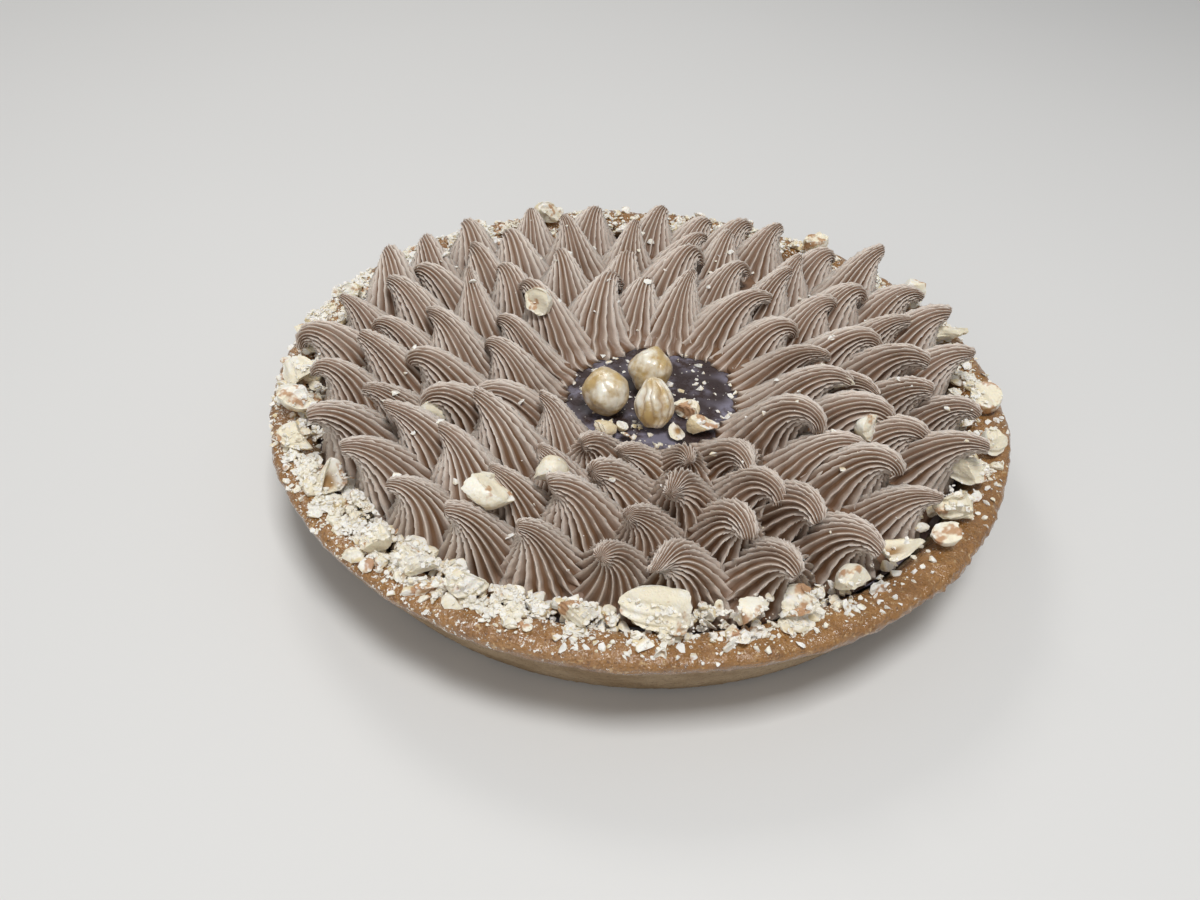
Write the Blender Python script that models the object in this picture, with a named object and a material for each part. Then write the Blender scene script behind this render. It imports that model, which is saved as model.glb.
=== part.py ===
"""A round chocolate and hazelnut tart, 230 mm across its rim.

A plain flared shortcrust shell holds a dark chocolate filling. Four rows of piped hazelnut cream
cover the filling up to an open well in the middle, where three whole hazelnuts lie. Chopped
hazelnuts lie on the rim and on the cream. Metres, +Z up, origin at the middle of the base.
The tart's front is -Y.
"""

import math
import random

import bmesh
import bpy
from mathutils import Matrix, Vector

MM = 0.001
GAP = 0.4 * MM  # clearance between two pieces that touch

# Shell: a flared wall round a flat floor.
RIM_RADIUS = 115 * MM
BASE_RADIUS = 101 * MM
RIM_HEIGHT = 30 * MM
RIM_WIDTH = 11.5 * MM
FLOOR_THICKNESS = 6 * MM
FLOOR_RADIUS = 92 * MM
SHELL_SEGMENTS = 60
CRAG_DEPTH = 0.7 * MM

# Filling: its top lies below the rim.
FILLING_LEVEL = 24.5 * MM

# Cream: rows of piped shells round a well whose middle lies off the tart's middle.
WELL_CENTRE = Vector((4.5 * MM, -6.3 * MM, 0))
WELL_RADIUS = 25 * MM
BED_HEIGHT = 3.6 * MM
BED_STEPS = 36
CREAM_RIDGES = 7
RIDGE_DEPTH = 0.28  # share of a shell's radius
SHELL_ROWS = (0.0, 0.3, 0.55, 0.75, 0.9)
SPINE_STEPS = 60
FRONT_ANGLE = 256  # where the shells stand the most upright, in degrees
FRONT_SHORTENING = (0.46, 0.3, 0.2, 0.2)  # how much shorter the shells are there, row by row
SIDE_SWING = 0.25  # how much of their forward aim the tails at the front keep
CREAM_GRAIN = 0.9 * MM
CREAM_TRIANGLES = 8200

# Each row of cream: radius of the shells' feet, how far the row shares the well's offset,
# half length, half width, spine length, and the angle in degrees of each shell.
CREAM_ROWS = (
    (39.3 * MM, 1.0, 14.2 * MM, 13.8 * MM, 29 * MM,
     (16, 38, 60, 80, 99, 120, 142, 162, 184, 207, 228, 247, 264, 281, 301, 328, 352)),
    (56 * MM, 0.6, 16.4 * MM, 14.8 * MM, 29 * MM,
     (14, 31, 48, 66, 84, 100, 120, 140, 159, 177, 195, 209, 227, 246, 262, 279, 298, 319, 338, 357)),
    (71 * MM, 0.25, 16.4 * MM, 15.0 * MM, 29 * MM,
     (4, 17, 30, 47, 68, 80, 95, 110, 127, 138, 152, 167, 179, 190, 206, 218, 231, 244, 258,
      271, 286, 302, 320, 336, 351)),
    (87 * MM, 0.0, 15.0 * MM, 15.4 * MM, 28 * MM,
     (1, 14, 26, 35, 46, 60, 70, 78, 88, 104, 118, 132, 147, 160, 171, 182, 195, 209, 221,
      231, 243, 254, 266, 277, 290, 303, 318, 334, 346)),
)

# Whole hazelnuts in the well: middle, width and length, and the turn and tip of the long axis.
WHOLE_NUTS = {
    "hazelnut_left": ((-10.6 * MM, -14.0 * MM), 14.4 * MM, 15.2 * MM, 110, 62),
    "hazelnut_back": ((3.2 * MM, -1.2 * MM), 13.6 * MM, 14.6 * MM, 60, 40),
    "hazelnut_front": ((4.2 * MM, -19.6 * MM), 11.8 * MM, 15.4 * MM, 96, 38),
}

# Large pieces of chopped nut: angle in degrees, radius, length, width and height, all in mm.
RIM_PIECES = (
    (26.5, 106.5, 11.5, 10, 9), (12.7, 106.5, 13, 9, 8), (353.5, 107.5, 8.5, 10, 7), (342.5, 108.5, 9, 8, 6),
    (333.5, 103.5, 12, 8, 7), (324.5, 103.5, 13, 10, 8), (309.5, 104.5, 11, 9, 8), (317.5, 107.0, 8, 7, 6),
    (300.0, 104.0, 9, 8.5, 8), (290.8, 104.8, 9.5, 7, 7), (284.5, 104.5, 8, 7.5, 6.5), (271.5, 103.2, 17, 9, 9.5),
    (261.0, 105.0, 8, 6, 6), (246.0, 104.5, 11, 8, 7), (238.5, 105.0, 10.5, 7.5, 7), (231.0, 106.0, 8.5, 7, 6),
    (216.4, 104.3, 9, 9, 8), (204.5, 107.5, 11, 8, 7), (195.8, 105.5, 11.5, 9, 8), (187.5, 106.0, 11, 8, 7),
    (178.5, 105.5, 12, 9, 8), (161.0, 107.0, 8, 7, 6), (110.5, 106.5, 11, 8, 8), (51.0, 107.5, 10, 8, 7),
)
CREAM_PIECES = (
    (240.6, 81.6, 14, 10, 8, 41.5), (249.5, 67.7, 9, 7.5, 11, 42), (147.3, 40.2, 9, 8, 8, 42),
    (210.5, 68.5, 9, 7, 6, 38.5), (332.5, 73.7, 8, 7.5, 8, 38.5), (345.2, 62.4, 7, 5, 6, 41),
)
WELL_PIECES = (
    (-46.7, 21.3, 8.5, 6.5, 5.2), (-50.1, 30.0, 10, 7.5, 5.2), (-111.0, 28.5, 6.5, 5.5, 4.5),
    (-66.1, 28.4, 5, 5.5, 4), (-102.1, 24.8, 4, 3.4, 3), (-97.6, 28.8, 4.2, 3.2, 3),
)
PIECE_POINTS = 13

# Small chips fused to the rim: how many, and their smallest and largest size.
RIM_CHIPS = 72
CHIP_SIZES = (3.0 * MM, 6.0 * MM)
CHIP_POINTS = 9


def clear_scene():
    """Removes the objects that a new Blender file holds."""
    for obj in list(bpy.data.objects):
        bpy.data.objects.remove(obj)


def material(name, colour, roughness):
    """A plain Principled BSDF material, made once for each name."""
    found = bpy.data.materials.get(name)
    if found:
        return found
    made = bpy.data.materials.new(name)
    made.use_nodes = True
    shader = made.node_tree.nodes["Principled BSDF"]
    shader.inputs["Base Color"].default_value = (*colour, 1)
    shader.inputs["Roughness"].default_value = roughness
    shader.inputs["Metallic"].default_value = 0
    return made


def baked():
    return material("baked_crust", (0.46, 0.23, 0.08), 0.6)


def chocolate():
    return material("dark_chocolate", (0.07, 0.04, 0.035), 0.35)


def hazelnut_cream():
    return material("hazelnut_cream", (0.36, 0.2, 0.13), 0.6)


def nut_flesh():
    return material("hazelnut", (0.72, 0.55, 0.34), 0.5)


def add_object(name, bm, look):
    """Links a named object made from a bmesh, triangulated, with its normals outside."""
    bmesh.ops.triangulate(bm, faces=bm.faces)
    bmesh.ops.recalc_face_normals(bm, faces=bm.faces)
    mesh = bpy.data.meshes.new(name)
    bm.to_mesh(mesh)
    bm.free()
    obj = bpy.data.objects.new(name, mesh)
    obj.data.materials.append(look)
    bpy.context.scene.collection.objects.link(obj)
    return obj


def polar(radius, degrees, height=0.0):
    """A point at that radius and angle round the tart's middle."""
    angle = math.radians(degrees)
    return Vector((radius * math.cos(angle), radius * math.sin(angle), height))


def crag(angle):
    """The rim's slow unevenness, from -1 to 1, at an angle in radians."""
    waves = ((3, 0.4, 0.32), (7, 1.9, 0.26), (13, 4.1, 0.24), (23, 0.7, 0.18))
    return sum(share * math.sin(turns * angle + phase) for turns, phase, share in waves)


def inner_wall_radius(height):
    """The radius of the shell's inner wall at a height."""
    top_radius = RIM_RADIUS - RIM_WIDTH
    share = (height - FLOOR_THICKNESS) / (RIM_HEIGHT - 2.5 * MM - FLOOR_THICKNESS)
    return FLOOR_RADIUS + (top_radius - FLOOR_RADIUS) * min(max(share, 0.0), 1.0)


def turned(profile, segments):
    """A closed solid turned from (radius, height) points that start and end on the axis."""
    bm = bmesh.new()
    points = [bm.verts.new((radius, 0, height)) for radius, height in profile]
    edges = [bm.edges.new(pair) for pair in zip(points, points[1:])]
    bmesh.ops.spin(bm, geom=points + edges, cent=(0, 0, 0), axis=(0, 0, 1), angle=math.tau,
                   steps=segments, use_merge=True, use_duplicate=False)
    bmesh.ops.remove_doubles(bm, verts=bm.verts, dist=0.01 * MM)
    return bm


def shell_bmesh():
    """The pastry shell: flat base, flared wall, rounded uneven rim, and the hollow inside it."""
    inner_edge = RIM_RADIUS - RIM_WIDTH
    profile = [
        (0, 0),
        (BASE_RADIUS - 3 * MM, 0),
        (BASE_RADIUS + 0.8 * MM, 3 * MM),
        (BASE_RADIUS + 8.4 * MM, 17 * MM),
        (RIM_RADIUS - 0.7 * MM, RIM_HEIGHT - 4 * MM),
        (RIM_RADIUS, RIM_HEIGHT - 1.8 * MM),
        (RIM_RADIUS - 2.2 * MM, RIM_HEIGHT),
        (inner_edge + 3.5 * MM, RIM_HEIGHT - 0.3 * MM),
        (inner_edge, RIM_HEIGHT - 2.5 * MM),
        (FLOOR_RADIUS, FLOOR_THICKNESS),
        (0, FLOOR_THICKNESS),
    ]
    bm = turned(profile, SHELL_SEGMENTS)
    for vert in bm.verts:
        radius = math.hypot(vert.co.x, vert.co.y)
        if radius < inner_edge + MM or vert.co.z < RIM_HEIGHT - 6 * MM:
            continue
        rise = crag(math.atan2(vert.co.y, vert.co.x)) * CRAG_DEPTH
        outward = Vector((vert.co.x, vert.co.y, 0)).normalized()
        vert.co += outward * rise + Vector((0, 0, rise * 0.6))
    return bm


def filling_bmesh():
    """The chocolate filling, from the shell's floor up to its level surface."""
    bottom = FLOOR_THICKNESS + GAP
    profile = [
        (0, bottom),
        (inner_wall_radius(bottom) - GAP, bottom),
        (inner_wall_radius(FILLING_LEVEL) - GAP, FILLING_LEVEL),
        (0, FILLING_LEVEL),
    ]
    return turned(profile, SHELL_SEGMENTS)


def shell_traits(rng, row, degrees):
    """How one piped shell differs from its neighbours. Angles are in radians."""
    front = max(0.0, math.cos(math.radians(degrees - FRONT_ANGLE))) ** 4
    back = max(0.0, math.sin(math.radians(degrees))) ** 2
    return {
        "size": rng.uniform(0.9, 1.08),
        "turn": math.radians(rng.uniform(-30, 6)),
        "lean": math.radians(rng.uniform(20, 36) * (1 - 0.7 * front)),
        "hook": math.radians(rng.uniform(75, 215) * (1 - 0.4 * front)),
        "curl": rng.uniform(2.6, 4.5),
        "twist": rng.uniform(-0.35, 0.35),
        "sway": rng.uniform(-1.3, 0.6),
        "sink": rng.uniform(-1.5, 1.5) * MM,
        "tip": rng.uniform(0.11, 0.17),
        "length": rng.uniform(0.9, 1.06) * (1 - FRONT_SHORTENING[row] * front - 0.2 * back),
    }


def tail_heading(degrees, turn):
    """Which way a shell's tail points: outwards, but swung to the sides at the front of the tart."""
    angle = math.radians(degrees)
    forward = math.sin(angle)
    return math.atan2(forward * (SIDE_SWING if forward < 0 else 1), math.cos(angle)) + turn


def spine_points(length, traits):
    """Reach, sideways shift, height and heading along a shell's spine, which leans and then hooks."""
    points = [(0.0, 0.0, 0.0, traits["lean"])]
    reach = shift = height = 0.0
    step = length / SPINE_STEPS
    for number in range(SPINE_STEPS):
        along = (number + 0.5) / SPINE_STEPS
        heading = traits["lean"] + (traits["hook"] - traits["lean"]) * along ** traits["curl"]
        reach += math.sin(heading) * step
        shift += math.sin(traits["sway"] * along ** 2) * step
        height += math.cos(heading) * step
        points.append((reach, shift, height, heading))
    return points


def piped_shell(foot, outward, half_length, half_width, length, traits):
    """One piped shell of cream as a closed bmesh: ridged rings from its foot to its hooked tip."""
    across = Vector((-outward.y, outward.x, 0))
    up = Vector((0, 0, 1))
    spine = spine_points(length, traits)
    around = CREAM_RIDGES * 2
    bm = bmesh.new()
    rings = []
    for along in SHELL_ROWS:
        reach, shift, height, heading = spine[round(along * SPINE_STEPS)]
        tilt = heading * min(max((along - 0.3) / 0.55, 0.0), 1.0) ** 1.3
        ring_out = outward * math.cos(tilt) - up * math.sin(tilt)
        middle = foot + outward * reach + across * shift + up * height
        body = traits["tip"] + (1 - traits["tip"]) * (1 - along) ** 1.4 * (1 + 0.2 * along)
        ring = []
        for index in range(around):
            angle = math.tau * index / around + traits["twist"] * along
            girth = body * (1 - RIDGE_DEPTH * (index % 2))
            point = middle + (ring_out * math.cos(angle) * half_length
                              + across * math.sin(angle) * half_width) * girth
            ring.append(bm.verts.new(kept_inside(point)))
        rings.append(ring)
    reach, shift, height, _ = spine[-1]
    tip = bm.verts.new(foot + outward * reach + across * shift + up * height)
    for lower, upper in zip(rings, rings[1:]):
        for index in range(around):
            after = (index + 1) % around
            bm.faces.new((lower[index], lower[after], upper[after], upper[index]))
    for index in range(around):
        bm.faces.new((rings[-1][index], rings[-1][(index + 1) % around], tip))
    bm.faces.new(list(reversed(rings[0])))
    return bm


def kept_inside(point):
    """The point, kept above the filling and drawn in to stay clear of the shell's inner wall."""
    height = max(point.z, FILLING_LEVEL + GAP)
    limit = inner_wall_radius(height) - 1.2 * MM if height < RIM_HEIGHT + MM else RIM_RADIUS
    draw = min(1.0, limit / math.hypot(point.x, point.y))
    return Vector((point.x * draw, point.y * draw, height))


def cream_bed():
    """The low ring of cream that joins the feet of the piped shells."""
    bottom = FILLING_LEVEL + GAP
    outer = inner_wall_radius(bottom) - 1.5 * MM
    bm = bmesh.new()
    loops = []
    for radius, height, centre in (
        (WELL_RADIUS + 3 * MM, bottom, WELL_CENTRE),
        (WELL_RADIUS + 7 * MM, bottom + BED_HEIGHT, WELL_CENTRE),
        (outer - 11 * MM, bottom + BED_HEIGHT, Vector()),
        (outer, bottom, Vector()),
    ):
        loops.append([bm.verts.new(centre + polar(radius, 360 * step / BED_STEPS, height))
                      for step in range(BED_STEPS)])
    for inside, outside in zip(loops, loops[1:] + loops[:1]):
        for step in range(BED_STEPS):
            after = (step + 1) % BED_STEPS
            bm.faces.new((inside[step], inside[after], outside[after], outside[step]))
    return bm


def cream_shells():
    """Every piped shell as its own object, row by row, each a little different."""
    rng = random.Random(7)
    made = []
    for row, (row_radius, shift, half_length, half_width, length, angles) in enumerate(CREAM_ROWS):
        for number, degrees in enumerate(angles):
            traits = shell_traits(rng, row, degrees)
            foot = WELL_CENTRE * shift + polar(row_radius + traits["sink"], degrees, FILLING_LEVEL + GAP)
            outward = polar(1, math.degrees(tail_heading(degrees, traits["turn"])))
            size = traits["size"]
            bm = piped_shell(foot, outward, half_length * size, half_width * size,
                             length * size * traits["length"], traits)
            made.append(add_object(f"shell_{row}_{number}", bm, hazelnut_cream()))
    return made


def apply_modifiers(obj):
    """Bakes the object's modifiers into its mesh."""
    graph = bpy.context.evaluated_depsgraph_get()
    mesh = bpy.data.meshes.new_from_object(obj.evaluated_get(graph))
    obj.modifiers.clear()
    obj.data = mesh


def fuse(obj, others, solver="MANIFOLD"):
    """Joins the other closed objects to this one with one Boolean union, and removes them."""
    gathered = bpy.data.collections.new("to_fuse")
    bpy.context.scene.collection.children.link(gathered)
    for other in others:
        bpy.context.scene.collection.objects.unlink(other)
        gathered.objects.link(other)
    union = obj.modifiers.new("union", "BOOLEAN")
    union.operation = "UNION"
    union.operand_type = "COLLECTION"
    union.collection = gathered
    union.solver = solver
    apply_modifiers(obj)
    for other in others:
        bpy.data.objects.remove(other)
    bpy.data.collections.remove(gathered)


def chunk_bmesh(size, points, rng):
    """An angular piece of nut: the convex hull of points strewn over a box-like egg."""
    bm = bmesh.new()
    for number in range(points):
        height = 1 - 2 * (number + 0.5) / points
        turn = number * 2.39996 + rng.uniform(-0.5, 0.5)
        girth = math.sqrt(1 - height * height)
        reach = rng.uniform(0.78, 1.0)
        bm.verts.new((math.cos(turn) * girth * reach * size[0] / 2,
                      math.sin(turn) * girth * reach * size[1] / 2,
                      height * reach * size[2] / 2))
    hull = bmesh.ops.convex_hull(bm, input=bm.verts)
    spare = [item for item in hull["geom_interior"] if isinstance(item, bmesh.types.BMVert)]
    bmesh.ops.delete(bm, geom=spare, context="VERTS")
    for axis in range(3):
        sides = [vert.co[axis] for vert in bm.verts]
        grow = size[axis] / (max(sides) - min(sides))
        for vert in bm.verts:
            vert.co[axis] *= grow
    return bm


def nut_piece(name, middle, size, rng):
    """A large piece of chopped nut, standing on the lowest height that its middle gives."""
    bm = chunk_bmesh([side * MM for side in size], PIECE_POINTS, rng)
    turn = Matrix.Rotation(rng.uniform(-0.4, 0.4), 4, "Z") @ Matrix.Rotation(rng.uniform(-0.3, 0.3), 4, "X")
    bmesh.ops.transform(bm, matrix=turn, verts=bm.verts)
    lowest = min(vert.co.z for vert in bm.verts)
    bmesh.ops.translate(bm, vec=middle - Vector((0, 0, lowest)), verts=bm.verts)
    return add_object(name, bm, nut_flesh())


def nut_pieces(rng):
    """The large pieces on the rim, on the cream and in the well."""
    made = []
    rim_top = RIM_HEIGHT + CRAG_DEPTH * 0.6 + GAP
    for degrees, radius, *size in RIM_PIECES:
        made.append((polar(radius * MM, degrees, rim_top), size))
    for degrees, radius, *size, height in CREAM_PIECES:
        made.append((polar(radius * MM, degrees, height * MM - size[2] * 0.5 * MM), size))
    for degrees, radius, *size in WELL_PIECES:
        made.append((polar(radius * MM, degrees, FILLING_LEVEL + GAP), size))
    return [nut_piece(f"nut_piece_{number:02d}", middle, size, rng)
            for number, (middle, size) in enumerate(made, 1)]


def whole_nut(name, place, width, length, turn, tip):
    """A peeled whole hazelnut: an egg with a blunt point at one end, lying in the well."""
    bm = bmesh.new()
    bmesh.ops.create_uvsphere(bm, u_segments=12, v_segments=8, radius=0.5)
    for vert in bm.verts:
        pointed = 1 - 0.22 * max(vert.co.z * 2, 0) ** 2
        vert.co = Vector((vert.co.x * width * pointed, vert.co.y * width * pointed, vert.co.z * length))
    lay = Matrix.Rotation(math.radians(turn), 4, "Z") @ Matrix.Rotation(math.radians(tip), 4, "Y")
    bmesh.ops.transform(bm, matrix=lay, verts=bm.verts)
    lowest = min(vert.co.z for vert in bm.verts)
    bmesh.ops.translate(bm, vec=(*place, FILLING_LEVEL + GAP - lowest), verts=bm.verts)
    return add_object(name, bm, nut_flesh())


def rim_chips(pieces, rng):
    """Small chips strewn along the rim, clear of the large pieces, sunk a little into the crust."""
    taken = [(sum((vert.co for vert in piece.data.vertices), Vector()) / len(piece.data.vertices),
              max(piece.dimensions.x, piece.dimensions.y) / 2) for piece in pieces]
    made = []
    tries = 0
    while len(made) < RIM_CHIPS and tries < 4000:
        tries += 1
        share = (1 - len(made) / RIM_CHIPS) ** 1.5
        size = CHIP_SIZES[0] + (CHIP_SIZES[1] - CHIP_SIZES[0]) * share
        degrees = rng.uniform(0, 360)
        spread = rng.uniform(0, 1) ** 1.5
        innermost = RIM_RADIUS - RIM_WIDTH + size * 0.5 + 1.5 * MM
        radius = innermost + (RIM_RADIUS - 3 * MM - innermost) * spread
        place = polar(radius, degrees, RIM_HEIGHT + crag(math.radians(degrees)) * CRAG_DEPTH * 0.6)
        near = [other for other, reach in taken
                if math.hypot(other.x - place.x, other.y - place.y) < reach + size * 0.58 + GAP]
        if near:
            continue
        taken.append((place, size / 2))
        bm = chunk_bmesh((size * 1.15, size, size * 0.9), CHIP_POINTS, rng)
        bmesh.ops.rotate(bm, matrix=Matrix.Rotation(rng.uniform(0, math.tau), 3, "Z"), verts=bm.verts)
        bmesh.ops.translate(bm, vec=place + Vector((0, 0, size * 0.12)), verts=bm.verts)
        made.append(add_object(f"chip_{len(made)}", bm, nut_flesh()))
    return made


def swollen(obj, by):
    """A copy of a convex object, grown by that much all round, to cut room for it."""
    bm = bmesh.new()
    bm.from_mesh(obj.data)
    middle = sum((vert.co for vert in bm.verts), Vector()) / len(bm.verts)
    reach = min((vert.co - middle).length for vert in bm.verts)
    for vert in bm.verts:
        vert.co = middle + (vert.co - middle) * (1 + 1.6 * by / reach)
    return add_object(f"{obj.name}_room", bm, nut_flesh())


def cut_room(obj, pieces):
    """Cuts the object back from each of the pieces, with one Boolean difference."""
    gathered = bpy.data.collections.new("to_cut")
    bpy.context.scene.collection.children.link(gathered)
    cutters = [swollen(piece, GAP) for piece in pieces]
    for cutter in cutters:
        bpy.context.scene.collection.objects.unlink(cutter)
        gathered.objects.link(cutter)
    cut = obj.modifiers.new("cut", "BOOLEAN")
    cut.operation = "DIFFERENCE"
    cut.operand_type = "COLLECTION"
    cut.collection = gathered
    cut.solver = "MANIFOLD"
    apply_modifiers(obj)
    for cutter in cutters:
        bpy.data.objects.remove(cutter)
    bpy.data.collections.remove(gathered)


def thinned(obj, grain, triangles):
    """Makes the object's mesh even and brings it down to that many triangles, flattest places first."""
    even = obj.modifiers.new("even", "REMESH")
    even.mode = "VOXEL"
    even.voxel_size = grain
    apply_modifiers(obj)
    decimate = obj.modifiers.new("thin", "DECIMATE")
    decimate.ratio = triangles / (2 * len(obj.data.polygons))
    decimate.use_collapse_triangulate = True
    apply_modifiers(obj)
    for vert in obj.data.vertices:
        vert.co = kept_inside(vert.co)


def largest_body(obj):
    """Keeps the object's largest connected surface and drops loose scraps and sealed hollows."""
    bm = bmesh.new()
    bm.from_mesh(obj.data)
    bmesh.ops.remove_doubles(bm, verts=bm.verts, dist=0.02 * MM)
    left = set(bm.verts)
    bodies = []
    while left:
        body = [left.pop()]
        for vert in body:
            for edge in vert.link_edges:
                other = edge.other_vert(vert)
                if other in left:
                    left.remove(other)
                    body.append(other)
        bodies.append(body)
    bodies.sort(key=len)
    scraps = [vert for body in bodies[:-1] for vert in body]
    bmesh.ops.delete(bm, geom=scraps, context="VERTS")
    bmesh.ops.triangulate(bm, faces=bm.faces)
    bm.to_mesh(obj.data)
    bm.free()


def build():
    clear_scene()
    rng = random.Random(7)
    crust = add_object("crust", shell_bmesh(), baked())
    add_object("filling", filling_bmesh(), chocolate())
    cream = add_object("cream", cream_bed(), hazelnut_cream())
    fuse(cream, cream_shells())
    largest_body(cream)
    thinned(cream, CREAM_GRAIN, CREAM_TRIANGLES)
    nuts = [whole_nut(name, *facts) for name, facts in WHOLE_NUTS.items()]
    pieces = nut_pieces(rng)
    bpy.context.view_layer.update()
    fuse(crust, rim_chips(pieces, rng))
    cut_room(cream, nuts + pieces)
    for obj in (cream, crust):
        largest_body(obj)
    for obj in bpy.context.scene.objects:
        print(obj.name, len(obj.data.polygons), "triangles")


build()
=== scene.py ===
"""A chocolate and hazelnut tart, dressed piece by piece over its solid model.

Metres, +Z up, origin at the middle of the base, front at -Y.
"""

import math
import random

import bmesh
import bpy
import numpy as np
from mathutils import Matrix, Vector, noise
from mathutils.bvhtree import BVHTree


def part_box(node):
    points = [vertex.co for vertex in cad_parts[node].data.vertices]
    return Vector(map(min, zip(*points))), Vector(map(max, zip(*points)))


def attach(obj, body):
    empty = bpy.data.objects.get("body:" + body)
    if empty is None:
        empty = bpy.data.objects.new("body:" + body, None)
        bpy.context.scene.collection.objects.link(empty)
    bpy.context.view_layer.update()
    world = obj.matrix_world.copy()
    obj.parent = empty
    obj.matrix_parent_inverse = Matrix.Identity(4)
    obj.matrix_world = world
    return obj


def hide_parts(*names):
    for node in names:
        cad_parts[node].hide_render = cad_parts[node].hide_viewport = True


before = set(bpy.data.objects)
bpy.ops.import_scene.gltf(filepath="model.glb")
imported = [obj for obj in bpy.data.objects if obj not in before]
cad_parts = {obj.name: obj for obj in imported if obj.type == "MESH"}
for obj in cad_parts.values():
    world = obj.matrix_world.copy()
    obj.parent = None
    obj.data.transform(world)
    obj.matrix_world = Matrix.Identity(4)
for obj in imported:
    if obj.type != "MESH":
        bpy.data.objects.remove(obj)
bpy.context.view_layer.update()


# Crust. A plain flared tart shell of shortcrust, baked hard. Its wall is dry, sandy and pale tan;
# its thick rounded rim was brushed with egg, which baked to a glossy golden brown.

MM = 0.001
RIM_RADIUS = 115 * MM
RIM_HEIGHT = 30 * MM
CRAG_DEPTH = 0.7 * MM
CRUST_TURNS = 760
WALL_TAN = (0.27, 0.18, 0.095, 1)
WALL_PALE = (0.37, 0.265, 0.16, 1)
PIT_SHADE_BROWN = (0.17, 0.1, 0.05, 1)
SPECK_BROWN = (0.15, 0.088, 0.042, 1)
GLAZE_GOLD = (0.34, 0.165, 0.047, 1)
GLAZE_BROWN = (0.27, 0.125, 0.036, 1)
GLAZE_DARK = (0.12, 0.05, 0.02, 1)
GLAZE_PALE = (0.72, 0.5, 0.26, 1)
NUT_DUST = (0.92, 0.89, 0.82, 1)
GLAZE_EDGE = (26.2 * MM, 29.0 * MM)
DUSTY_SIDE = (-7.6, -5.4, 0)
DUSTY_BAND = (107 * MM, 112 * MM)

# Half of the shell's outline, radius and height in mm: under the base, up the wall, over the rim,
# and down the inner wall to the floor under the filling.
BASE_LINE = ((0, 0), (50, 0), (98.2, 0))
WALL_LINE = ((100.4, 0.8), (101.9, 3.0), (105.6, 10), (109.4, 17.2), (112.1, 22.2),
             (113.8, 25.4), (114.7, 27.2), (114.8, 28.5), (114.1, 29.5), (112.6, 30.1),
             (110.2, 30.2), (107.4, 29.9), (105.2, 29.1), (103.9, 27.9), (103.1, 26.2),
             (101.8, 23.6))
FLOOR_LINE = ((92, 6), (50, 6), (0, 6))

# The baked surface's roughness: bumps per metre, and their depth in mm on the wall and on the rim.
ROUGHNESS = ((170, 0.0, 0.5), (420, 0.16, 0.32), (1100, 0.15, 0.15))
RAGGED_AT = -46


def add_node(tree, kind, inputs=(), **settings):
    """A shader node with its settings, and its inputs linked where a socket is given."""
    made = tree.nodes.new(kind)
    for key, value in settings.items():
        setattr(made, key, value)
    for name, value in dict(inputs).items():
        if isinstance(value, bpy.types.NodeSocket):
            tree.links.new(value, made.inputs[name])
        else:
            made.inputs[name].default_value = value
    return made


def blend(tree, share, first, second, kind="MIX"):
    """The colour between two colours, by a share from 0 to 1."""
    made = add_node(tree, "ShaderNodeMix", {0: share, 6: first, 7: second}, data_type="RGBA",
                    blend_type=kind)
    return made.outputs[2]


def spread(tree, value, low, high, to_low=0.0, to_high=1.0):
    """The value, stretched smoothly from one range to another and held there."""
    made = add_node(tree, "ShaderNodeMapRange", {0: value, 1: low, 2: high, 3: to_low, 4: to_high},
                    interpolation_type="SMOOTHSTEP")
    return made.outputs[0]


def math_node(tree, operation, first, second=0.0):
    """One sum on two values."""
    made = add_node(tree, "ShaderNodeMath", {0: first, 1: second}, operation=operation)
    return made.outputs[0]


def noise_node(tree, place, scale, detail=3.0, roughness=0.55):
    """A noise value over the object, with features of about one over the scale, in metres."""
    made = add_node(tree, "ShaderNodeTexNoise", {"Vector": place, "Scale": scale, "Detail": detail,
                                                 "Roughness": roughness})
    return made.outputs[0]


def new_look(name, roughness, specular=0.5):
    """A material with its node tree and its Principled shader."""
    made = bpy.data.materials.new(name)
    made.use_nodes = True
    shader = made.node_tree.nodes["Principled BSDF"]
    shader.inputs["Roughness"].default_value = roughness
    shader.inputs["Specular IOR Level"].default_value = specular
    place = add_node(made.node_tree, "ShaderNodeTexCoord").outputs["Object"]
    return made, made.node_tree, shader, place


def raise_surface(tree, shader, height, depth, socket="Normal"):
    """Feeds a height to the shader's normal, or its coat's, as a bump of that depth in metres."""
    bump = add_node(tree, "ShaderNodeBump", {"Height": height, "Distance": depth})
    tree.links.new(bump.outputs[0], shader.inputs[socket])


def crumb_grain():
    """Node group: the broken, grainy surface of anything baked or chopped."""
    group = bpy.data.node_groups.new("crumb_grain", "ShaderNodeTree")
    group.interface.new_socket("Grains per metre", in_out="INPUT",
                               socket_type="NodeSocketFloat")
    group.interface.new_socket("Height", in_out="OUTPUT", socket_type="NodeSocketFloat")
    group.interface.new_socket("Pits", in_out="OUTPUT", socket_type="NodeSocketFloat")
    enter = group.nodes.new("NodeGroupInput")
    leave = group.nodes.new("NodeGroupOutput")
    place = add_node(group, "ShaderNodeTexCoord").outputs["Object"]
    grains = add_node(group, "ShaderNodeTexVoronoi", {"Vector": place, "Scale": enter.outputs[0]})
    fine = noise_node(group, place, math_node(group, "MULTIPLY", enter.outputs[0], 0.55), 4.0, 0.65)
    pits = spread(group, fine, 0.36, 0.27)
    bumps = spread(group, grains.outputs["Distance"], 0.7, 0.1)
    height = math_node(group, "ADD", math_node(group, "MULTIPLY", bumps, 0.45), fine)
    height = math_node(group, "SUBTRACT", height, math_node(group, "MULTIPLY", pits, 0.35))
    group.links.new(height, leave.inputs[0])
    group.links.new(pits, leave.inputs[1])
    return group


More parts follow.
